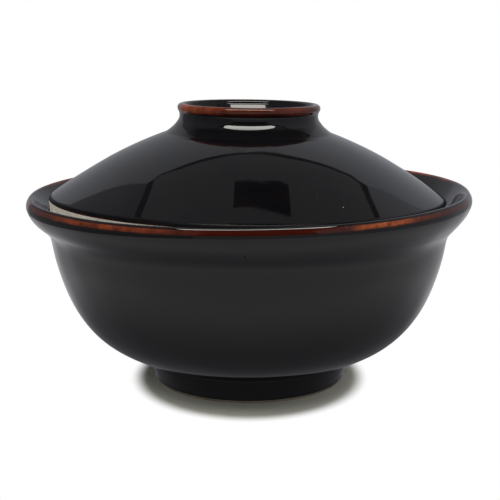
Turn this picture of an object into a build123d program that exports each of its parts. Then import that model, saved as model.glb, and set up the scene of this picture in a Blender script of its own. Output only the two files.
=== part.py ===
"""Lidded rice bowl: a footed stoneware bowl with a flared mouth, and a domed lid that stands inside the flare.

Each of the two pieces is a fired clay body under glaze coats. The frame is the bowl's own: +Z up, the
origin at the centre of the foot, on the surface that the bowl stands on. All sizes are in millimetres.
Sections are drawn as half profiles, radius across and height up, and revolved.
"""
import os
from math import cos, radians, sin, tan

from build123d import *

# Driving dimensions: glaze
GLAZE = 0.5                # thickness of a glaze coat
AXIS_LAP = 3.0             # how far a section is drawn past the axis before it is cut there
FIELD = 200.0              # side of the squares that cut a section into zones
INSET_STEPS = 24           # spans of a spline that is drawn one coat inside another

# Driving dimensions: bowl
RIM_H = 68.6               # overall height of the bowl without its lid
CREST_R = 76.9             # radius of the circle that the lip's crest makes
CREST_ROUND = 1.0          # rounding of the crest
LIP_FACE_ROUND = 4.0       # rounding of the lip's outer face
LIP_FACE_DEG = (-20, 42)   # the outer face goes from the flare at the first angle to the crest at the second
LIP_IN_DEG = 138           # the crest ends here, at the top of the sloping seat
SHOULDER = (70.5, 53.2)    # where the belly ends and the flare begins
SHOULDER_LEAN = (0.19, 1)  # direction of the wall there
FOOT_R = 35.9              # foot ring's outer radius where it meets the belly
FOOT_H = 8.6               # foot ring's height outside
FOOT_BASE_R = 34.5         # foot ring's outer radius at its base
FOOT_EDGE = 1.3            # rounding of the foot ring's base
FOOT_FILLET = (1.4, 0.9)   # the fillet between foot and belly reaches this far out, and this far down
FOOT_FILLET_RISE = 0.5     # and this far up the belly
FOOT_IN_R = 29.0           # foot ring's inner radius at its base
RECESS_R = 27.2            # foot ring's inner radius at the top of its recess
RECESS_H = 6.6             # depth of the recess under the bowl
RECESS_ROUND = 2.2         # rounding in the top corner of the recess
SEAT_FOOT_Z = 60.6         # lower end of the sloping seat that carries the lid
CAVITY_Z = 12.4            # height of the bowl's inside floor
FOOT_BARE = 1.1            # height of the bare clay ring that the bowl stands on
RIM_BAND_Z = 65.8          # the brown rim band covers the lip above this height

# Driving dimensions: lid, in the lid's own frame, with height 0 at the lower edge of the outer glaze
LID_R = 70.3               # lid's outer radius
LID_BROW = (1.5, 1.75)     # rounding over the lid's edge: how far it reaches in, and up
BROW_MID = (0.395, 0.577)  # the middle of that rounding, as shares of its reach
LID_Z = 66.45              # height of the lid's frame over the surface that the bowl stands on
LID_SHIFT = (-0.4, -0.4)   # the lid sits this far off the bowl's axis
LID_TILT_DEG = 0.95        # the lid's lean: it stands a little high on its front left side
LID_HIGH_DEG = 225         # direction of that high side, counted from +X
LID_EDGE_H = 4.9           # depth of the bare edge below the outer glaze
LID_EDGE_ROUND = 1.3       # rounding of the bare edge
LID_EDGE_STEP = 0.3        # the bare edge is turned this much smaller than the glaze over it
LID_EDGE_IN_R = 66.0       # inner radius of the bare edge
LID_EDGE_IN_ROUND = (1.0, 0.6)  # rounding of its inner corner: how far it reaches out, and up
LID_VAULT_LAP = 0.6        # the vault meets the bare edge this far inside it, at half its depth
LID_BARE_R = 64.2          # below height 0 the clay is bare outside this radius
LID_CROWN_Z = 21.8         # height of the lid's inside at the centre
GRIP_R = 25.25             # outermost radius of the grip ring
GRIP_LIP_R = 1.45          # radius of the grip ring's rounded lip
GRIP_LIP_Z = 31.6          # height of that lip's centre
GRIP_ROOT = (29.7, 22.8)   # crease where the grip ring rises out of the dome
GRIP_ROOT_BLEND = (0.45, 0.22)  # how far the crease is softened, inward and up
GRIP_NECK = (24.5, 29.0)   # narrowest place under the grip ring's lip
GRIP_IN_R = 19.9           # grip ring's inner radius at its floor
GRIP_FLOOR_Z = 26.4        # floor inside the grip ring
GRIP_FLOOR_ROUND = 1.6     # rounding in the corner of that floor
GRIP_BAND_Z = 31.2         # the brown grip band covers the grip's lip above this height

CREST_C = (CREST_R, RIM_H - CREST_ROUND)
GRIP_C = (GRIP_R - GRIP_LIP_R, GRIP_LIP_Z)
GRIP_LIP_DEG = (-12, 170)  # the grip lip's arc, from outside under it to inside


def on_circle(centre, radius, degrees):
    """The point of a circle at an angle counted from the radial direction."""
    return (centre[0] + radius * cos(radians(degrees)), centre[1] + radius * sin(radians(degrees)))


FACE_C = on_circle(CREST_C, CREST_ROUND - LIP_FACE_ROUND, LIP_FACE_DEG[1])
SEAT_TOP = on_circle(CREST_C, CREST_ROUND, LIP_IN_DEG)
SEAT_FOOT = (SEAT_TOP[0] - (SEAT_TOP[1] - SEAT_FOOT_Z) / tan(radians(LIP_IN_DEG - 90)), SEAT_FOOT_Z)

# Bowl section: the whole thickness, glaze included
with BuildSketch(Plane.XZ) as bowl_full:
    with BuildLine():
        base = Line((FOOT_IN_R, 0), (FOOT_BASE_R - FOOT_EDGE, 0))
        toe = RadiusArc(base @ 1, (FOOT_BASE_R, FOOT_EDGE), -FOOT_EDGE)
        foot_side = Line(toe @ 1, (FOOT_R, FOOT_H - FOOT_FILLET[1]))
        foot_fillet = ThreePointArc(foot_side @ 1, (FOOT_R + FOOT_FILLET[0] / 4, FOOT_H),
                                    (FOOT_R + FOOT_FILLET[0], FOOT_H + FOOT_FILLET_RISE))
        belly = Spline(foot_fillet @ 1, (44.2, 11.7), (52.0, 16.1), (58.6, 22.3), (63.6, 30.0),
                       (67.2, 39.0), (69.6, 48.0), SHOULDER, tangents=[(1.0, 0.22), SHOULDER_LEAN])
        lip_start = on_circle(FACE_C, LIP_FACE_ROUND, LIP_FACE_DEG[0])
        flare = Spline(SHOULDER, (74.7, 59.0), lip_start,
                       tangents=[SHOULDER_LEAN, (0.34, 0.94)])
        lip_face = CenterArc(FACE_C, LIP_FACE_ROUND, LIP_FACE_DEG[0], LIP_FACE_DEG[1] - LIP_FACE_DEG[0])
        crest = CenterArc(CREST_C, CREST_ROUND, LIP_FACE_DEG[1], LIP_IN_DEG - LIP_FACE_DEG[1])
        seat = Line(crest @ 1, SEAT_FOOT)
        cavity = Spline(SEAT_FOOT, (66.8, 56.0), (65.2, 48.0), (62.6, 39.0), (58.6, 30.6), (51.8, 22.6),
                        (42.0, 16.6), (26.0, 13.2), (0, CAVITY_Z), tangents=[seat % 1, (-1.0, 0.0)])
        Polyline(cavity @ 1, (-AXIS_LAP, CAVITY_Z), (-AXIS_LAP, RECESS_H), (RECESS_R - RECESS_ROUND, RECESS_H))
        recess_corner = RadiusArc((RECESS_R - RECESS_ROUND, RECESS_H), (RECESS_R, RECESS_H - RECESS_ROUND),
                                  RECESS_ROUND)
        Line(recess_corner @ 1, base @ 0)
    make_face()

# The lid's frame, tilted and shifted off the bowl's axis
lean = radians(LID_TILT_DEG)
away = radians(LID_HIGH_DEG + 180)
lid_origin = Vector(LID_SHIFT[0], LID_SHIFT[1], LID_Z)
lid_up = Vector(sin(lean) * cos(away), sin(lean) * sin(away), cos(lean))
lid_out = Vector(lid_up.Z, 0, -lid_up.X).normalized()
lid_plane = Plane(origin=lid_origin, x_dir=lid_out, z_dir=lid_out.cross(lid_up))
lid_axis = Axis(lid_origin, lid_up)

# Lid section, in the lid's own frame: the whole thickness, glaze included
with BuildSketch(lid_plane) as lid_full:
    with BuildLine():
        edge_top = (LID_R, 0)
        brow = ThreePointArc(edge_top, (LID_R - BROW_MID[0] * LID_BROW[0], BROW_MID[1] * LID_BROW[1]),
                             (LID_R - LID_BROW[0], LID_BROW[1]))
        dome = Spline(brow @ 1, (60.0, 7.3), (52.5, 12.0), (44.5, 16.4), (36.0, 20.3), GRIP_ROOT,
                      tangents=[(-0.842, 0.540), (-0.937, 0.35)])
        grip_side = Spline((GRIP_ROOT[0] - GRIP_ROOT_BLEND[0], GRIP_ROOT[1] + GRIP_ROOT_BLEND[1]),
                           (27.9, 24.05), (26.4, 25.35), (25.2, 26.9), GRIP_NECK,
                           tangents=[(-0.79, 0.61), (0.0, 1.0)])
        Spline(dome @ 1, grip_side @ 0, tangents=[dome % 1, grip_side % 0])
        grip_flare = Spline(GRIP_NECK, (24.7, 30.1), on_circle(GRIP_C, GRIP_LIP_R, GRIP_LIP_DEG[0]),
                            tangents=[(0.0, 1.0), (0.2, 0.98)])
        grip_lip = CenterArc(GRIP_C, GRIP_LIP_R, GRIP_LIP_DEG[0], GRIP_LIP_DEG[1] - GRIP_LIP_DEG[0])
        grip_wall = Line(grip_lip @ 1, (GRIP_IN_R, GRIP_FLOOR_Z + GRIP_FLOOR_ROUND))
        grip_corner = RadiusArc(grip_wall @ 1, (GRIP_IN_R - GRIP_FLOOR_ROUND, GRIP_FLOOR_Z), GRIP_FLOOR_ROUND)
        Polyline(grip_corner @ 1, (-AXIS_LAP, GRIP_FLOOR_Z), (-AXIS_LAP, LID_CROWN_Z), (0, LID_CROWN_Z))
        vault = Spline((0, LID_CROWN_Z), (13.0, 21.2), (26.0, 18.6), (38.0, 14.0), (49.0, 8.4), (58.5, 2.6),
                       (LID_EDGE_IN_R - LID_VAULT_LAP, -LID_EDGE_H / 2), tangents=[(1.0, 0.0), (0.45, -0.9)])
        edge_in = ThreePointArc(vault @ 1, (LID_EDGE_IN_R, -LID_EDGE_H + LID_EDGE_IN_ROUND[1]),
                                (LID_EDGE_IN_R + LID_EDGE_IN_ROUND[0], -LID_EDGE_H))
        edge_foot = (LID_R - LID_EDGE_STEP, -LID_EDGE_H + LID_EDGE_ROUND)
        edge_base = Line(edge_in @ 1, (edge_foot[0] - LID_EDGE_ROUND, -LID_EDGE_H))
        edge_out = RadiusArc(edge_base @ 1, edge_foot, -LID_EDGE_ROUND)
        Line(edge_out @ 1, edge_top)
    make_face()


def zone(x, z, align, plane):
    """A square region of a section, from a corner or edge point at radius x and height z."""
    with BuildSketch(plane) as region:
        with Locations((x, z)):
            Rectangle(FIELD, FIELD, align=align)
    return region.sketch_local


def clay_under(full, bare, plane):
    """The clay inside a full section: one glaze coat thinner, but whole where the clay is left bare."""
    inset = offset(full.sketch_local, amount=-GLAZE, mode=Mode.PRIVATE)
    with BuildSketch(plane) as clay:
        with BuildLine():
            for edge in inset.edges():
                if edge.geom_type == GeomType.OFFSET:
                    knots = [edge @ (step / INSET_STEPS) for step in range(INSET_STEPS + 1)]
                    Spline(*knots)
                else:
                    add(edge)
        make_face()
        add(full.sketch_local & bare)
        split(bisect_by=Plane.YZ, keep=Keep.TOP)
    return clay


def coats_over(full, clay, band, plane):
    """The glaze on a clay section, cut where the band begins: the band, then the coats from the axis outward."""
    with BuildSketch(plane) as glaze:
        add(full.sketch_local)
        split(bisect_by=Plane.YZ, keep=Keep.TOP)
        add(clay.sketch_local, mode=Mode.SUBTRACT)
    return (glaze.sketch_local & band).faces(), (glaze.sketch_local - band).faces().sort_by(Axis.X)


def write_turned(node, faces, plane, axis):
    """Turn a section round its axis and write it as one node."""
    with BuildPart() as turned:
        with BuildSketch(plane):
            add(faces)
        revolve(axis=axis)
    turned.part.label = node
    export_step(turned.part, f"parts/{node}.step")
    print(f"{node}: {len(turned.part.solids())} solid, {turned.part.volume:.0f} mm3")


BELOW = (Align.CENTER, Align.MAX)
ABOVE = (Align.CENTER, Align.MIN)
BELOW_OUTSIDE = (Align.MIN, Align.MAX)

os.makedirs("parts", exist_ok=True)

# Bowl: the clay body stands on its bare foot, and four coats cover the rest
bowl_clay = clay_under(bowl_full, zone(0, FOOT_BARE, BELOW, Plane.XZ), Plane.XZ)
rim_band, (foot_coat, cavity_coat, belly_coat) = coats_over(
    bowl_full, bowl_clay, zone(0, RIM_BAND_Z, ABOVE, Plane.XZ), Plane.XZ)
write_turned("bowl_body", bowl_clay.sketch_local.faces(), Plane.XZ, Axis.Z)
write_turned("bowl_outer_glaze", belly_coat, Plane.XZ, Axis.Z)
write_turned("bowl_rim_band", rim_band, Plane.XZ, Axis.Z)
write_turned("bowl_inner_glaze", cavity_coat, Plane.XZ, Axis.Z)
write_turned("bowl_foot_glaze", foot_coat, Plane.XZ, Axis.Z)

# Lid: the clay body shows only at its bare edge, which rests on the seat inside the flare
lid_clay = clay_under(lid_full, zone(LID_BARE_R, 0, BELOW_OUTSIDE, lid_plane), lid_plane)
grip_band, (grip_coat, vault_coat, dome_coat) = coats_over(
    lid_full, lid_clay, zone(0, GRIP_BAND_Z, ABOVE, lid_plane), lid_plane)
write_turned("lid_body", lid_clay.sketch_local.faces(), lid_plane, lid_axis)
write_turned("lid_outer_glaze", dome_coat, lid_plane, lid_axis)
write_turned("lid_grip_band", grip_band, lid_plane, lid_axis)
write_turned("lid_grip_glaze", grip_coat, lid_plane, lid_axis)
write_turned("lid_inner_glaze", vault_coat, lid_plane, lid_axis)
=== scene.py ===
"""Looks for the lidded rice bowl.

Every piece is turned afresh, finely, from the section of its CAD node, so nothing leaves the frame. The
glaze is one near-black glass that thins to brown where it runs over an edge, and the clay shows where the
piece was left bare. The bowl stands on a pale floor inside a light box that the camera doesn't see.
"""
import math

import bpy
import numpy as np
from mathutils import Matrix, Vector


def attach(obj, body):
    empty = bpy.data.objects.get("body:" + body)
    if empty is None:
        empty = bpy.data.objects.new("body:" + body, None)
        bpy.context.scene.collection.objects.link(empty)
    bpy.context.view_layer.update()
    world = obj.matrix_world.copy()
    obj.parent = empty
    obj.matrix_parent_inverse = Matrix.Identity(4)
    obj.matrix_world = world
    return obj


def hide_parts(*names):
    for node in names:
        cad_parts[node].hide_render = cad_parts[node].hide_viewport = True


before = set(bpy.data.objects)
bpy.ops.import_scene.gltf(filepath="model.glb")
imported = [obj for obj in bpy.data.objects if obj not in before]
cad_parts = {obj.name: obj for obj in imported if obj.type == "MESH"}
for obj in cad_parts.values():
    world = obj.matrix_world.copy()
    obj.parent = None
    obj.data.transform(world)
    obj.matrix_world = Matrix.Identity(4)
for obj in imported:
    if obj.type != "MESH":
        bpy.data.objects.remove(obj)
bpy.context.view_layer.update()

MM = 0.001

# The lid's own frame, as in the CAD: where it stands, how far it leans and which side is high
LID_ORIGIN = Vector((-0.4, -0.4, 66.45)) * MM
LID_TILT_DEG = 0.95
LID_HIGH_DEG = 225

# The two lips that the glaze thins over, each in its own frame. It is all thin out to the first reach from
# the centre (radius, height) and not at all beyond the second; by the angle round the centre, from outward
# and up, it sets in over the rise and ends over the fall, and at the back it runs on inward by the turn.
BOWL_LIP = {"centre": (76.9 * MM, 67.6 * MM), "reach": (1.7 * MM, 2.6 * MM),
            "rise": (-54, -31), "fall": (12, 52), "turn": 130}
GRIP_LIP = {"centre": (23.8 * MM, 31.6 * MM), "reach": (2.0 * MM, 2.7 * MM),
            "rise": (-70, -42), "fall": (95, 140), "turn": 0}
BACK_FROM = (-0.4, 0.3)    # where the back of a lip begins, by the sine of the azimuth

# How orange the brown is round each lip, as (azimuth, share) with the bowl's front at -90: partly how it
# burned in the kiln, partly painted light and shade, darkest near the front
BOWL_HEAT_AND_LIGHT = ((-180, 0.10), (-150, 0.03), (-138, 0.10), (-126, 0.20), (-112, 0.10), (-100, 0.02),
             (-90, 0), (-69, 0.02), (-63, 0.35), (-58, 0.80), (-51, 0.20), (-43, 0.05),
             (-34, 0.02), (-15, 0.03), (0, 0.10), (45, 0.30), (110, 0.30), (180, 0.10))
GRIP_HEAT_AND_LIGHT = ((-180, 0.14), (-140, 0.20), (-118, 0.17), (-96, 0.05), (-75, 0.03), (-55, 0.08),
             (-35, 0.03), (0, 0.12), (90, 0.18), (180, 0.14))

# On the lid, in its own frame: where the crease under the grip gets painted shade, its shine turned down so
# it mirrors little, which is below this height, inside this radius and on the front; where it ran dry above
# the bare edge; and where it is thin there
CREASE_R = 31.0 * MM
CREASE_SHADE_TOP = (25.5 * MM, 26.2 * MM)
CREASE_SHADE_FRONT = (0.55, 0.80)          # by the sine of the azimuth, forwards
DRY_EDGE_R = (69.1 * MM, 69.6 * MM)
DRY_EDGE_Z = 1.8 * MM
BROWN_EDGE_R = (69.6 * MM, 70.2 * MM)
BROWN_EDGE_THIN = 0.5

TURNS = 240                # meridians of a turned piece
LONGEST_STEP = 1.3 * MM    # spacing of the points along a section, at most
STEP_TURN_DEG = 7          # and the most that the section turns from one to the next
SHARP_DEG = 28             # a section turns more than this at a real edge
SEAM_TOLERANCE = 2e-6      # how near the seam's plane a CAD vertex lies
NUDGE = 0.02 * MM          # the small step, along a section, that a normal is taken over
NUDGE_TURN = 1e-3          # and the small turn
AXIS_ZONE = 0.2 * MM       # nearer the axis than this, a turn is taken as a plain circle's
CALM_R = 12 * MM           # the hand's wander dies away inside this radius
WOBBLE = 0.05 * MM         # how strong it is outside
WAVES = 9                  # how many waves it is summed from
WAVE_LENGTH = (28 * MM, 70 * MM)

# The bowl's lip leans: up towards +X and down towards -X by the first, and up all round by the second. The
# lean sets in up the wall and outside the seat, so the lid keeps its place.
LIP_LEAN = (0.95 * MM, 0.35 * MM)
LIP_FROM_Z = (54 * MM, 66 * MM)
LIP_FROM_R = (72.3 * MM, 75.8 * MM)

# Glaze: colours are linear, bump depths in metres
BLACK_COOL = (0.0022, 0.0022, 0.0030, 1)
BLACK_WARM = (0.0038, 0.0031, 0.0031, 1)
DEEP_RED = (0.033, 0.0038, 0.0016, 1)
ORANGE_BROWN = (0.50, 0.108, 0.024, 1)
DARK_FLECK = (0.022, 0.005, 0.003, 1)
GLAZE_IOR = 1.5
GLOSS = (0.025, 0.06)
SWELL = 0.008 * MM
THROWING_RINGS = 0.004 * MM
ORANGE_PEEL = 0.0008 * MM
PIT = 0.02 * MM
DRY_EDGE_ROUGH = 0.3
FULL_SHINE = 0.5
DULL_SHINE = 0.03              # for the painted shade in the crease, where the glaze is dry, and in the pinhole
PINHOLE = ((-1.2 * MM, -75.5 * MM, 60.4 * MM), 0.55 * MM)      # on the bowl's shoulder, in its own frame
PALE_SPECK = ((29.6 * MM, -56.6 * MM, 5.3 * MM), 0.40 * MM)    # on the lid, in the lid's frame

# Bare clay
CLAY_CREAM = (0.68, 0.62, 0.52, 1)
CLAY_GREY = (0.56, 0.53, 0.46, 1)
CLAY_SAND = (0.38, 0.31, 0.22, 1)
CLAY_IRON = (0.12, 0.07, 0.04, 1)
CLAY_FOOT_SHADE = (0.20, 0.16, 0.085, 1)
CLAY_GRAIN = 0.05 * MM
CLAY_TURNING = 0.04 * MM
CLAY_ROUGH = (0.62, 0.82)
CLAY_IOR = 1.5
FOOT_SHADE_TOP = (0.2 * MM, 9 * MM)    # the clay has full painted shade up to the first height, and none from the second

# Light box: how bright each part looks, where 1 is paper white
CEILING_GLOW = 0.19
STRIP_GLOW = 10.0
BACK_GLOW = 0.36
BACK_RIGHT_GLOW = 0.414
LEFT_GLOW = 0.165
RIGHT_GLOW = 0.32
FRONT_GLOW = 0.30
FILL_LEFT_GLOW = 6.0
FILL_RIGHT_GLOW = 3.6
ROOM = (0.03, 0.03, 0.034)

# The floor as the camera sees it: the bowl's own shadow, which fades to plain white by the distance from its
# axis. The distance is scaled by the oval, so the shadow is deeper than it is wide.
FLOOR_SPAN = (-3000, 3000, -3000, 3000)
FLOOR_SEEN = (0.95, 0.94, 0.80, 1)
FLOOR_OVAL = (1.2, 1.0, 1.0)
FLOOR_FADE = (45 * MM, 53 * MM)

# The floor as the glaze mirrors it: a glow with a painted shadow, dark under the belly, where it is wider
# than it is deep, and pale outside
FLOOR_MIRRORED_SHADOW = (0.13, 0.13, 0.14, 1)
FLOOR_PALE = (0.52, 0.52, 0.54, 1)
FLOOR_WIDE = (0.74, 1.0, 1.0)
FLOOR_OPENS = (45 * MM, 110 * MM)

# Camera
SENSOR = 36
LENS = 81.94
SHIFT = (0.002, 0.0086)
EYE = (0, -404.2, 130)
LOOK_DOWN_DEG = 11.87


# ---------------------------------------------------------------- sections and turned meshes

def lid_matrix():
    """The lid's frame in the row's frame."""
    lean = math.radians(LID_TILT_DEG)
    away = math.radians(LID_HIGH_DEG + 180)
    up = Vector((math.sin(lean) * math.cos(away), math.sin(lean) * math.sin(away), math.cos(lean)))
    out = Vector((up.z, 0, -up.x)).normalized()
    turn = Matrix((out, up.cross(out), up)).transposed().to_4x4()
    return Matrix.Translation(LID_ORIGIN) @ turn


OWN_FRAME = {"bowl": np.eye(4), "lid": np.array(lid_matrix())}
LIP = {"bowl": BOWL_LIP, "lid": GRIP_LIP}
HEAT_AND_LIGHT = {"bowl": BOWL_HEAT_AND_LIGHT, "lid": GRIP_HEAT_AND_LIGHT}
SEED = {"bowl": 3, "lid": 8}


def section(node, own_frame):
    """A turned CAD node's outline as (radius, height) points, solid on their left, and if it is a loop."""
    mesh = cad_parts[node].data
    flat = np.empty(len(mesh.vertices) * 3)
    mesh.vertices.foreach_get("co", flat)
    inverse = np.linalg.inv(own_frame)
    own = flat.reshape(-1, 3) @ inverse[:3, :3].T + inverse[:3, 3]
    on_seam = (np.abs(own[:, 1]) < SEAM_TOLERANCE) & (own[:, 0] > -SEAM_TOLERANCE)
    place = {i: (round(float(own[i, 0]), 6), round(float(own[i, 2]), 6)) for i in np.flatnonzero(on_seam)}
    beside = {}
    for edge in mesh.edges:
        a, b = edge.vertices
        if a in place and b in place and place[a] != place[b]:
            beside.setdefault(place[a], set()).add(place[b])
            beside.setdefault(place[b], set()).add(place[a])
    if not beside:
        raise ValueError(f"{node} has no seam in its own frame, so its section can't be read")
    ends = [p for p, others in beside.items() if len(others) == 1]
    path = [min(ends or beside, key=lambda p: p[1])]
    seen = set(path)
    while True:
        onward = [p for p in beside[path[-1]] if p not in seen]
        if not onward:
            break
        path.append(onward[0])
        seen.add(onward[0])
    if ends:            # a flat disc has no seam, so its centre is put back
        for end in (0, -1):
            if path[end][0] > SEAM_TOLERANCE:
                path.insert(0 if end == 0 else len(path), (0.0, path[end][1]))
    points = np.array(path)
    points[points[:, 0] < SEAM_TOLERANCE, 0] = 0
    r, z = points.T
    area = (r * np.roll(z, -1) - z * np.roll(r, -1)).sum()
    return (points if area > 0 else points[::-1]), not ends


def unit(v):
    return v / np.maximum(np.linalg.norm(v, axis=-1, keepdims=True), 1e-12)


def stretches(points, closed):
    """The section cut at its real edges into smooth stretches, each a list of points."""
    n = len(points)
    if closed:
        before, after = np.roll(points, 1, 0), np.roll(points, -1, 0)
    else:
        before = np.vstack([points[:1] * 2 - points[1:2], points[:-1]])
        after = np.vstack([points[1:], points[-1:] * 2 - points[-2:-1]])
    turn = np.degrees(np.arccos(np.clip((unit(points - before) * unit(after - points)).sum(1), -1, 1)))
    corners = [i for i in range(n) if turn[i] > SHARP_DEG]
    if closed:
        if not corners:
            raise ValueError("a closed section has no edge to start at")
        order = [(corners[0] + k) % n for k in range(n + 1)]
        points = points[order]
        corners = sorted((c - corners[0]) % n for c in corners) + [n]
    else:
        corners = sorted({0, *corners, n - 1})
    return [points[a:b + 1] for a, b in zip(corners, corners[1:])]


def smooth(stretch):
    """A stretch as a finer line through the same points, with its tangents."""
    if len(stretch) == 2:
        whole = stretch[1] - stretch[0]
        n = max(1, math.ceil(np.linalg.norm(whole) / LONGEST_STEP))
        t = np.linspace(0, 1, n + 1)[:, None]
        return stretch[0] + t * whole, np.repeat(unit(whole)[None], n + 1, 0)
    step = np.linalg.norm(np.diff(stretch, axis=0), axis=1)
    slope = np.diff(stretch, axis=0) / step[:, None]
    tangent = np.empty_like(stretch)
    share = step[1:] / (step[:-1] + step[1:])
    tangent[1:-1] = slope[:-1] * share[:, None] + slope[1:] * (1 - share)[:, None]
    tangent[0] = 2 * slope[0] - tangent[1]
    tangent[-1] = 2 * slope[-1] - tangent[-2]
    tangent = unit(tangent)
    line, along = [stretch[:1]], [tangent[:1]]
    for i, length in enumerate(step):
        bend = math.degrees(math.acos(min(1, max(-1, float(tangent[i] @ tangent[i + 1])))))
        n = max(1, math.ceil(length / LONGEST_STEP), math.ceil(bend / STEP_TURN_DEG))
        t = (np.arange(1, n + 1) / n)[:, None]
        a, b, ta, tb = stretch[i], stretch[i + 1], tangent[i] * length, tangent[i + 1] * length
        line.append((2 * t**3 - 3 * t**2 + 1) * a + (t**3 - 2 * t**2 + t) * ta
                    + (-2 * t**3 + 3 * t**2) * b + (t**3 - t**2) * tb)
        along.append(unit((6 * t**2 - 6 * t) * (a - b)
                          + (3 * t**2 - 4 * t + 1) * ta + (3 * t**2 - 2 * t) * tb))
    return np.vstack(line), np.vstack(along)


def hand(own, seed):
    """How far the wall wanders at points of a piece's own frame: a sum of long slow waves."""
    rng = np.random.default_rng(seed)
    total = np.zeros(own.shape[:-1])
    for _ in range(WAVES):
        wave = rng.normal(size=3) * 2 * math.pi / rng.uniform(*WAVE_LENGTH)
        total += np.sin(own @ wave + rng.uniform(0, 2 * math.pi)) / math.sqrt(WAVES)
    return total * WOBBLE


def ease(value, low, high):
    """Smoothly from 0 at low to 1 at high."""
    t = np.clip((value - low) / (high - low), 0, 1)
    return t * t * (3 - 2 * t)


def spun(points, angles, body):
    """Points of a section carried round the axis, with the hand's wander and lean, as (point, angle, xyz)."""
    radius, height = points[:, 0], points[:, 1]
    out = np.stack([np.cos(angles), np.sin(angles)], -1)
    own = np.empty((len(points), len(angles), 3))
    own[..., :2] = radius[:, None, None] * out[None]
    own[..., 2] = height[:, None]
    fade = np.clip(radius / CALM_R, 0, 1)[:, None]
    own[..., :2] += (hand(own, SEED[body]) * fade)[..., None] * out[None]
    if body == "bowl":
        rise = ease(height, *LIP_FROM_Z) * ease(radius, *LIP_FROM_R)
        own[..., 2] += rise[:, None] * (LIP_LEAN[0] * np.cos(angles) + LIP_LEAN[1])[None]
    return own


def glaze_thinness(points, azimuth, lip):
    """How much the glaze thins at points of a section and azimuths: 1 on a lip's outer side, 0 away."""
    out, up = (points - lip["centre"]).T
    turn = np.degrees(np.arctan2(up, out))
    turn = np.where(turn < -120, turn + 360, turn)
    near = np.interp(np.hypot(out, up), lip["reach"], (1, 0))
    inward = lip["turn"] * np.interp(np.sin(azimuth), BACK_FROM, (0, 1))
    return near * np.interp(turn, lip["rise"], (0, 1)) * np.interp(turn - inward, lip["fall"], (1, 0))


def crease_shade_and_dry(points, azimuth):
    """At points of the lid, how much painted shade the crease's front gets, as shine turned down, and how dry
    the edge ran.
    """
    r, z = points.T
    front = np.interp(-np.sin(azimuth), CREASE_SHADE_FRONT, (0, 1))
    crease_shade = np.interp(z, CREASE_SHADE_TOP, (1, 0)) * (r < CREASE_R) * front
    dry = np.interp(r, DRY_EDGE_R, (0, 1)) * (z < DRY_EDGE_Z)
    return crease_shade, dry


def brown_edge(points):
    """How much the glaze thins where it ends at the lid's bare edge."""
    r, z = points.T
    return BROWN_EDGE_THIN * np.interp(r, BROWN_EDGE_R, (0, 1)) * (z < DRY_EDGE_Z)


def turned(node, body):
    """A piece spun from its node's section, with true normals and what its glaze or clay depends on."""
    own_frame = OWN_FRAME[body]
    points, closed = section(node, own_frame)
    angles = np.arange(TURNS) * 2 * math.pi / TURNS
    on = (np.arange(TURNS) + 1) % TURNS
    lines = [smooth(s) for s in stretches(points, closed)]

    # Neighbouring stretches share the ring at the edge between them, and a point on the axis is one vertex
    outline, rings, vertices = [], [], 0
    for line, _ in lines:
        own_rings = [rings[-1][-1]] if rings else []
        for point in line[1 if rings else 0:]:
            on_axis = point[0] == 0
            own_rings.append(np.full(TURNS, vertices) if on_axis else vertices + np.arange(TURNS))
            vertices += 1 if on_axis else TURNS
            outline.append(point)
        rings.append(own_rings)
    if closed:
        rings[-1][-1] = rings[0][0]
        vertices -= TURNS
        outline.pop()
    outline = np.array(outline)
    shape = spun(outline, angles, body)
    places = np.vstack([shape[i, :1] if p[0] == 0 else shape[i] for i, p in enumerate(outline)])
    flat = np.vstack([np.repeat(p[None], 1 if p[0] == 0 else TURNS, 0) for p in outline])
    azimuth = np.arctan2(places[:, 1], places[:, 0])
    layers = {"thin": glaze_thinness(flat, azimuth, LIP[body]),
              "hot_and_lit": np.interp(np.degrees(azimuth), *np.transpose(HEAT_AND_LIGHT[body])),
              "is_foot": np.full(len(places), float(body == "bowl"))}
    if node == "lid_outer_glaze":
        layers["thin"] = np.maximum(layers["thin"], brown_edge(flat))
        own = np.stack([np.hypot(places[:, 0], places[:, 1]), places[:, 2]], 1)
        layers["crease_shade"], layers["dry"] = crease_shade_and_dry(own, azimuth)

    faces, face_normals = [], []
    for (line, along), own_rings in zip(lines, rings):
        ahead = spun(line + along * NUDGE, angles, body) - spun(line - along * NUDGE, angles, body)
        round_ = np.stack([-np.sin(angles), np.cos(angles), 0 * angles], -1)
        turn = spun(line, angles + NUDGE_TURN, body) - spun(line, angles - NUDGE_TURN, body)
        turn = np.where(line[:, :1, None] > AXIS_ZONE, unit(turn), round_[None])
        normal = unit(np.cross(turn, ahead))
        for k in range(len(line) - 1):
            a, b = own_rings[k], own_rings[k + 1]
            corners = [a, a[on], b[on], b]
            looks = [normal[k], normal[k][on], normal[k + 1][on], normal[k + 1]]
            if a[0] == a[1]:
                corners, looks = corners[1:], looks[1:]
            elif b[0] == b[1]:
                corners, looks = corners[:3], looks[:3]
            faces += np.stack(corners, 1).tolist()
            face_normals.append(np.stack(looks, 1).reshape(-1, 3))

    mesh = bpy.data.meshes.new("turned_" + node)
    turn_own, move_own = own_frame[:3, :3], own_frame[:3, 3]
    mesh.from_pydata((places @ turn_own.T + move_own).tolist(), [], faces)
    mesh.shade_smooth()
    mesh.normals_split_custom_set((np.vstack(face_normals) @ turn_own.T).tolist())
    mesh.attributes.new("own_place", "FLOAT_VECTOR", "POINT").data.foreach_set("vector", places.ravel())
    for layer, values in layers.items():
        mesh.attributes.new(layer, "FLOAT", "POINT").data.foreach_set("value", values)
    mesh.update()
    piece = bpy.data.objects.new(mesh.name, mesh)
    bpy.context.scene.collection.objects.link(piece)
    return piece


# ---------------------------------------------------------------- materials

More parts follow.
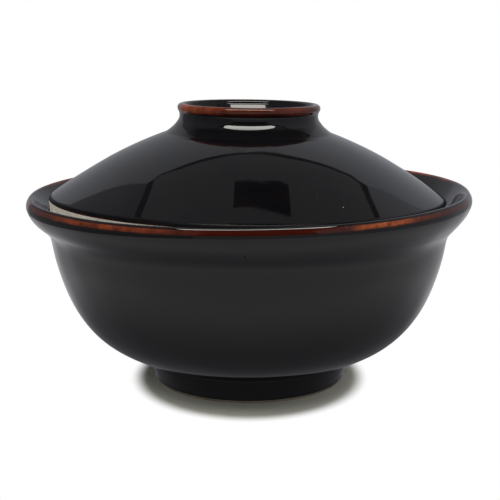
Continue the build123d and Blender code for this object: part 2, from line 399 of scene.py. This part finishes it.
class Look:
    """A node material under construction, or the world's nodes."""

    def __init__(self, name, world=False):
        self.material = (bpy.data.worlds if world else bpy.data.materials).new(name)
        self.material.use_nodes = True
        self.nodes = self.material.node_tree.nodes
        self.nodes.clear()
        self.output = self.nodes.new("ShaderNodeOutputWorld" if world else "ShaderNodeOutputMaterial")

    def link(self, source, target):
        self.material.node_tree.links.new(source, target)

    def put(self, value, socket):
        if isinstance(value, bpy.types.NodeSocket):
            self.link(value, socket)
        else:
            socket.default_value = value

    def attribute(self, name, output="Fac"):
        node = self.nodes.new("ShaderNodeAttribute")
        node.attribute_name = name
        return node.outputs[output]

    def stretched(self, place, scale):
        node = self.nodes.new("ShaderNodeMapping")
        self.link(place, node.inputs["Vector"])
        node.inputs["Scale"].default_value = scale
        return node.outputs["Vector"]

    def noise(self, place, size, detail=3.0, roughness=0.5, offset=0.0):
        """Noise from 0 to 1 with blotches of about that size, in metres. The offset picks another pattern."""
        node = self.nodes.new("ShaderNodeTexNoise")
        node.noise_dimensions = "4D"
        self.link(place, node.inputs["Vector"])
        node.inputs["W"].default_value = offset
        node.inputs["Scale"].default_value = 1 / size
        node.inputs["Detail"].default_value = detail
        node.inputs["Roughness"].default_value = roughness
        return node.outputs["Fac"]

    def spot(self, place, centre, radius):
        """1 within a small round spot, 0 outside it."""
        node = self.nodes.new("ShaderNodeVectorMath")
        node.operation = "DISTANCE"
        self.link(place, node.inputs[0])
        node.inputs[1].default_value = centre
        return self.ramp(node.outputs["Value"], radius * 0.6, radius, 1.0, 0.0)

    def away(self, place, scale):
        """How far the place is from the origin, once stretched."""
        node = self.nodes.new("ShaderNodeVectorMath")
        node.operation = "LENGTH"
        self.link(self.stretched(place, scale), node.inputs[0])
        return node.outputs["Value"]

    def math(self, kind, a, b=0.0, clamp=False):
        node = self.nodes.new("ShaderNodeMath")
        node.operation = kind
        node.use_clamp = clamp
        self.put(a, node.inputs[0])
        self.put(b, node.inputs[1])
        return node.outputs[0]

    def ramp(self, value, low, high, to_low=0.0, to_high=1.0):
        """value from low..high carried smoothly to to_low..to_high."""
        node = self.nodes.new("ShaderNodeMapRange")
        node.interpolation_type = "SMOOTHSTEP"
        self.put(value, node.inputs["Value"])
        for name, number in (("From Min", low), ("From Max", high), ("To Min", to_low), ("To Max", to_high)):
            node.inputs[name].default_value = number
        return node.outputs["Result"]

    def mix(self, share, a, b):
        node = self.nodes.new("ShaderNodeMix")
        node.data_type = "RGBA"
        self.put(share, node.inputs["Factor"])
        self.put(a, node.inputs["A"])
        self.put(b, node.inputs["B"])
        return node.outputs["Result"]

    def bump(self, height, distance, before=None):
        node = self.nodes.new("ShaderNodeBump")
        self.link(height, node.inputs["Height"])
        node.inputs["Strength"].default_value = 1.0
        node.inputs["Distance"].default_value = distance
        if before is not None:
            self.link(before, node.inputs["Normal"])
        return node.outputs["Normal"]

    def surface(self, colour, roughness, normal, ior, shine=FULL_SHINE):
        node = self.nodes.new("ShaderNodeBsdfPrincipled")
        self.put(shine, node.inputs["Specular IOR Level"])
        self.put(colour, node.inputs["Base Color"])
        self.put(roughness, node.inputs["Roughness"])
        self.put(normal, node.inputs["Normal"])
        node.inputs["IOR"].default_value = ior
        self.link(node.outputs["BSDF"], self.output.inputs["Surface"])
        return self.material


def glaze(name):
    """Near-black iron glaze that thins to a red-brown over an edge, with a fine skin and a few pits."""
    look = Look(name)
    place = look.attribute("own_place", "Vector")

    # Where it is thin: the lip's own thinness, broken up by runs of different sizes
    drift = look.noise(place, 16 * MM, 2.0)
    runs = look.noise(place, 3.2 * MM, 3.0, offset=2.0)
    fringe = look.math("ADD", look.math("MULTIPLY", drift, 0.5), look.math("MULTIPLY", runs, 0.6))
    thin = look.math("ADD", look.attribute("thin"), look.math("SUBTRACT", fringe, 0.55))
    brown = look.ramp(thin, 0.34, 0.90)

    # The brown itself goes from a deep red to an orange where the glaze has run thinnest, and by azimuth,
    # where the share is partly how it burned and partly painted light and shade
    patch = look.noise(place, 9 * MM, 3.0, 0.6, offset=5.0)
    fleck = look.noise(place, 1.1 * MM, 4.0, 0.65, offset=7.0)
    uneven = look.math("ADD", look.ramp(patch, 0.34, 0.66, 0.25, 1.45),
                       look.ramp(fleck, 0.3, 0.7, -0.25, 0.35))
    core = look.ramp(thin, 0.70, 1.10, 0.25, 1.15)
    heat_and_light = look.math("MULTIPLY", look.attribute("hot_and_lit"), look.math("MULTIPLY", uneven, core), clamp=True)
    red = look.mix(heat_and_light, DEEP_RED, ORANGE_BROWN)
    red = look.mix(look.ramp(fleck, 0.60, 0.78, 0.0, 0.55), red, DARK_FLECK)

    # The black is not quite even either
    cloud = look.noise(place, 11 * MM, 4.0, 0.6, offset=11.0)
    black = look.mix(look.ramp(cloud, 0.35, 0.70), BLACK_COOL, BLACK_WARM)
    colour = look.mix(brown, black, red)
    colour = look.mix(look.math("MULTIPLY", look.spot(place, *PALE_SPECK), 0.8), colour, CLAY_GREY)

    # Skin: slow unevenness, faint throwing rings, a fine orange peel and here and there a pit
    peel = look.noise(place, 1.9 * MM, 2.0, offset=13.0)
    swell = look.noise(place, 9 * MM, 1.0, offset=17.0)
    rings = look.noise(look.stretched(place, (0.04, 0.04, 1.0)), 2.6 * MM, 2.0, offset=19.0)
    pits = look.ramp(look.noise(place, 0.75 * MM, 0.0, offset=23.0), 0.835, 0.90)
    pits = look.math("MAXIMUM", pits, look.spot(place, *PINHOLE))
    normal = look.bump(swell, SWELL)
    normal = look.bump(rings, THROWING_RINGS, normal)
    normal = look.bump(peel, ORANGE_PEEL, normal)
    normal = look.bump(look.math("SUBTRACT", 1.0, pits), PIT, normal)
    haze = look.noise(place, 6 * MM, 4.0, 0.6, offset=29.0)
    roughness = look.math("ADD", look.ramp(haze, 0.3, 0.75, *GLOSS), look.math("MULTIPLY", pits, 0.3))
    roughness = look.math("ADD", roughness, look.math("MULTIPLY", look.attribute("dry"), DRY_EDGE_ROUGH))
    # Painted shade: the shine is turned down in the front of the crease under the grip, as well as at the dry
    # edge and in the pinhole
    dull = look.math("MAXIMUM", look.attribute("crease_shade"), look.attribute("dry"))
    dull = look.math("MAXIMUM", dull, look.spot(place, *PINHOLE))
    shine = look.ramp(dull, 0.0, 1.0, FULL_SHINE, DULL_SHINE)
    return look.surface(colour, roughness, normal, GLAZE_IOR, shine)


def stoneware(name):
    """Bare cream clay: a sanded grain with iron specks, with painted shade on the bowl's foot, darker towards
    the table.
    """
    look = Look(name)
    place = look.attribute("own_place", "Vector")
    grain = look.noise(place, 0.5 * MM, 5.0, 0.7)
    cloud = look.noise(place, 7 * MM, 3.0, offset=3.0)
    colour = look.mix(look.ramp(cloud, 0.35, 0.7), CLAY_CREAM, CLAY_GREY)
    colour = look.mix(look.ramp(grain, 0.45, 0.75, 0.0, 0.45), colour, CLAY_SAND)
    specks = look.ramp(look.noise(place, 0.9 * MM, 0.0, offset=9.0), 0.74, 0.82)
    colour = look.mix(look.math("MULTIPLY", specks, 0.7), colour, CLAY_IRON)
    # Painted shade: on the bowl, the clay darkens towards the table
    separate = look.nodes.new("ShaderNodeSeparateXYZ")
    look.link(place, separate.inputs["Vector"])
    low = look.ramp(separate.outputs["Z"], *FOOT_SHADE_TOP, 1.0, 0.0)
    foot = look.math("MULTIPLY", low, look.attribute("is_foot"))
    colour = look.mix(look.math("MULTIPLY", foot, look.ramp(cloud, 0.2, 0.8, 0.75, 0.95)), colour, CLAY_FOOT_SHADE)
    normal = look.bump(grain, CLAY_GRAIN)
    turning = look.noise(look.stretched(place, (0.05, 0.05, 1.0)), 0.9 * MM, 1.0, offset=12.0)
    normal = look.bump(turning, CLAY_TURNING, normal)
    return look.surface(colour, look.ramp(grain, 0.3, 0.7, *CLAY_ROUGH), normal, CLAY_IOR)


# ---------------------------------------------------------------- the pieces

PIECES = [    # CAD node, body, material slot
    ("bowl_body", "bowl", "bare_clay"),
    ("bowl_outer_glaze", "bowl", "black_glaze"),
    ("bowl_rim_band", "bowl", "brown_glaze"),
    ("bowl_inner_glaze", "bowl", "black_glaze"),
    ("bowl_foot_glaze", "bowl", "black_glaze"),
    ("lid_body", "lid", "bare_clay"),
    ("lid_outer_glaze", "lid", "black_glaze"),
    ("lid_grip_band", "lid", "brown_glaze"),
    ("lid_grip_glaze", "lid", "black_glaze"),
    ("lid_inner_glaze", "lid", "black_glaze"),
]

iron_glaze = glaze("iron_glaze")    # the brown bands are the same glaze, run thin
looks = {"bare_clay": stoneware("stoneware"), "black_glaze": iron_glaze, "brown_glaze": iron_glaze}

for node, body, slot in PIECES:
    piece = turned(node, body)
    piece.data.materials.append(looks[slot])
    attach(piece, body)
    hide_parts(node)


# ---------------------------------------------------------------- the floor and the light box

def panel(name, corners, colour, strength, in_glaze=True):
    """A glowing panel that lights the bowl and may show in its glaze, and that the camera doesn't see."""
    mesh = bpy.data.meshes.new(name)
    mesh.from_pydata([Vector(c) * MM for c in corners], [], [tuple(range(len(corners)))])
    look = Look(name)
    glow = look.nodes.new("ShaderNodeEmission")
    glow.inputs["Color"].default_value = (*colour, 1)
    glow.inputs["Strength"].default_value = strength
    look.link(glow.outputs["Emission"], look.output.inputs["Surface"])
    mesh.materials.append(look.material)
    obj = bpy.data.objects.new(name, mesh)
    obj.visible_camera = False
    obj.visible_glossy = in_glaze
    bpy.context.scene.collection.objects.link(obj)


def level(x0, x1, y0, y1, z):
    return [(x0, y0, z), (x1, y0, z), (x1, y1, z), (x0, y1, z)]


def wall(x0, y0, x1, y1, low, high):
    return [(x0, y0, low), (x1, y1, low), (x1, y1, high), (x0, y0, high)]


# The box: its ceiling's back edge runs skew, and the seams beside it are left dark. The back wall is bent.
TOP, LEFT, RIGHT, FRONT = 400, -202, 260, -440
BACK_AT_LEFT, BACK_BEND, BACK_AT_RIGHT = (LEFT, 208), (0, 206), (RIGHT, 284)
FRONT_TOP = 170
CEILING = [(-188, -107), (245, -107), (247, 230), (240, 265), (90, 213),
           (0, 195), (-60, 189), (-135, 192), (-188, 204)]
CEILING_HOLE = [(-22, 30), (80, 36), (80, 87), (28, 77), (-22, 82)]
CEILING_SLOT = (-32, 88, -106, 8)
STRIP = (-165, 195, -182, -107)
BELOW_CEILING = TOP - 1
FILL_FROM_Y, FILL_TO_Y, FILL_LOW, FILL_GAP = -300, 60, 190, 5
WHITE, COOL, WARM, BLACK, EVEN = (0.97, 0.97, 1.0), (0.90, 0.92, 1.0), (1.0, 0.98, 0.92), (0, 0, 0), (1, 1, 1)

panel("box_ceiling", [(x, y, TOP) for x, y in CEILING], WHITE, CEILING_GLOW)
panel("box_camera_hole", [(x, y, BELOW_CEILING) for x, y in CEILING_HOLE], BLACK, 0)
panel("box_slot", level(*CEILING_SLOT, BELOW_CEILING), BLACK, 0)
panel("box_light_strip", level(*STRIP, TOP), WARM, STRIP_GLOW)
panel("box_back_left", wall(*BACK_AT_LEFT, *BACK_BEND, 0, TOP), COOL, BACK_GLOW)
panel("box_back_right", wall(*BACK_BEND, *BACK_AT_RIGHT, 0, TOP), COOL, BACK_RIGHT_GLOW)
panel("box_left", wall(LEFT, FRONT, *BACK_AT_LEFT, 0, TOP), COOL, LEFT_GLOW)
panel("box_right", wall(RIGHT, FRONT, *BACK_AT_RIGHT, 0, TOP), COOL, RIGHT_GLOW)
panel("box_front", wall(LEFT, FRONT, RIGHT, FRONT, 0, FRONT_TOP), COOL, FRONT_GLOW)
for side, x, glow in (("left", LEFT + FILL_GAP, FILL_LEFT_GLOW),
                      ("right", RIGHT - FILL_GAP, FILL_RIGHT_GLOW)):
    panel("box_fill_" + side, wall(x, FILL_FROM_Y, x, FILL_TO_Y, FILL_LOW, TOP), EVEN, glow, in_glaze=False)


def by_ray(look, seen, unseen):
    """One shader for what the camera sees directly, another for every other ray."""
    ray = look.nodes.new("ShaderNodeLightPath")
    mix = look.nodes.new("ShaderNodeMixShader")
    look.link(ray.outputs["Is Camera Ray"], mix.inputs["Fac"])
    look.link(unseen.outputs[0], mix.inputs[1])
    look.link(seen.outputs[0], mix.inputs[2])
    look.link(mix.outputs["Shader"], look.output.inputs["Surface"])


floor_mesh = bpy.data.meshes.new("floor")
floor_mesh.from_pydata([Vector(c) * MM for c in level(*FLOOR_SPAN, 0)], [], [(0, 1, 2, 3)])
floor_look = Look("floor_white")
floor_place = floor_look.nodes.new("ShaderNodeNewGeometry").outputs["Position"]
near = floor_look.nodes.new("ShaderNodeBsdfDiffuse")
near.inputs["Color"].default_value = FLOOR_SEEN
far = floor_look.nodes.new("ShaderNodeEmission")
overexposed = floor_look.nodes.new("ShaderNodeMixShader")
fading = floor_look.ramp(floor_look.away(floor_place, FLOOR_OVAL), *FLOOR_FADE)
floor_look.link(fading, overexposed.inputs["Fac"])
floor_look.link(near.outputs["BSDF"], overexposed.inputs[1])
floor_look.link(far.outputs["Emission"], overexposed.inputs[2])
mirrored = floor_look.nodes.new("ShaderNodeEmission")
opening = floor_look.ramp(floor_look.away(floor_place, FLOOR_WIDE), *FLOOR_OPENS)
floor_look.link(floor_look.mix(opening, FLOOR_MIRRORED_SHADOW, FLOOR_PALE), mirrored.inputs["Color"])
by_ray(floor_look, overexposed, mirrored)
floor_mesh.materials.append(floor_look.material)
floor = bpy.data.objects.new("floor", floor_mesh)
bpy.context.scene.collection.objects.link(floor)

studio = Look("studio", world=True)
bpy.context.scene.world = studio.material
white = studio.nodes.new("ShaderNodeBackground")
white.inputs["Color"].default_value = (1, 1, 1, 1)
dim = studio.nodes.new("ShaderNodeBackground")
dim.inputs["Color"].default_value = (*ROOM, 1)
by_ray(studio, white, dim)
bpy.context.scene.view_settings.view_transform = "Standard"


# ---------------------------------------------------------------- camera

camera = bpy.data.cameras.new("camera")
camera.sensor_width = SENSOR
camera.lens = LENS
camera.shift_x, camera.shift_y = SHIFT
camera.dof.use_dof = False
eye = bpy.data.objects.new("camera", camera)
eye.location = Vector(EYE) * MM
eye.rotation_euler = (math.radians(90 - LOOK_DOWN_DEG), 0, 0)
bpy.context.scene.collection.objects.link(eye)
bpy.context.scene.camera = eye
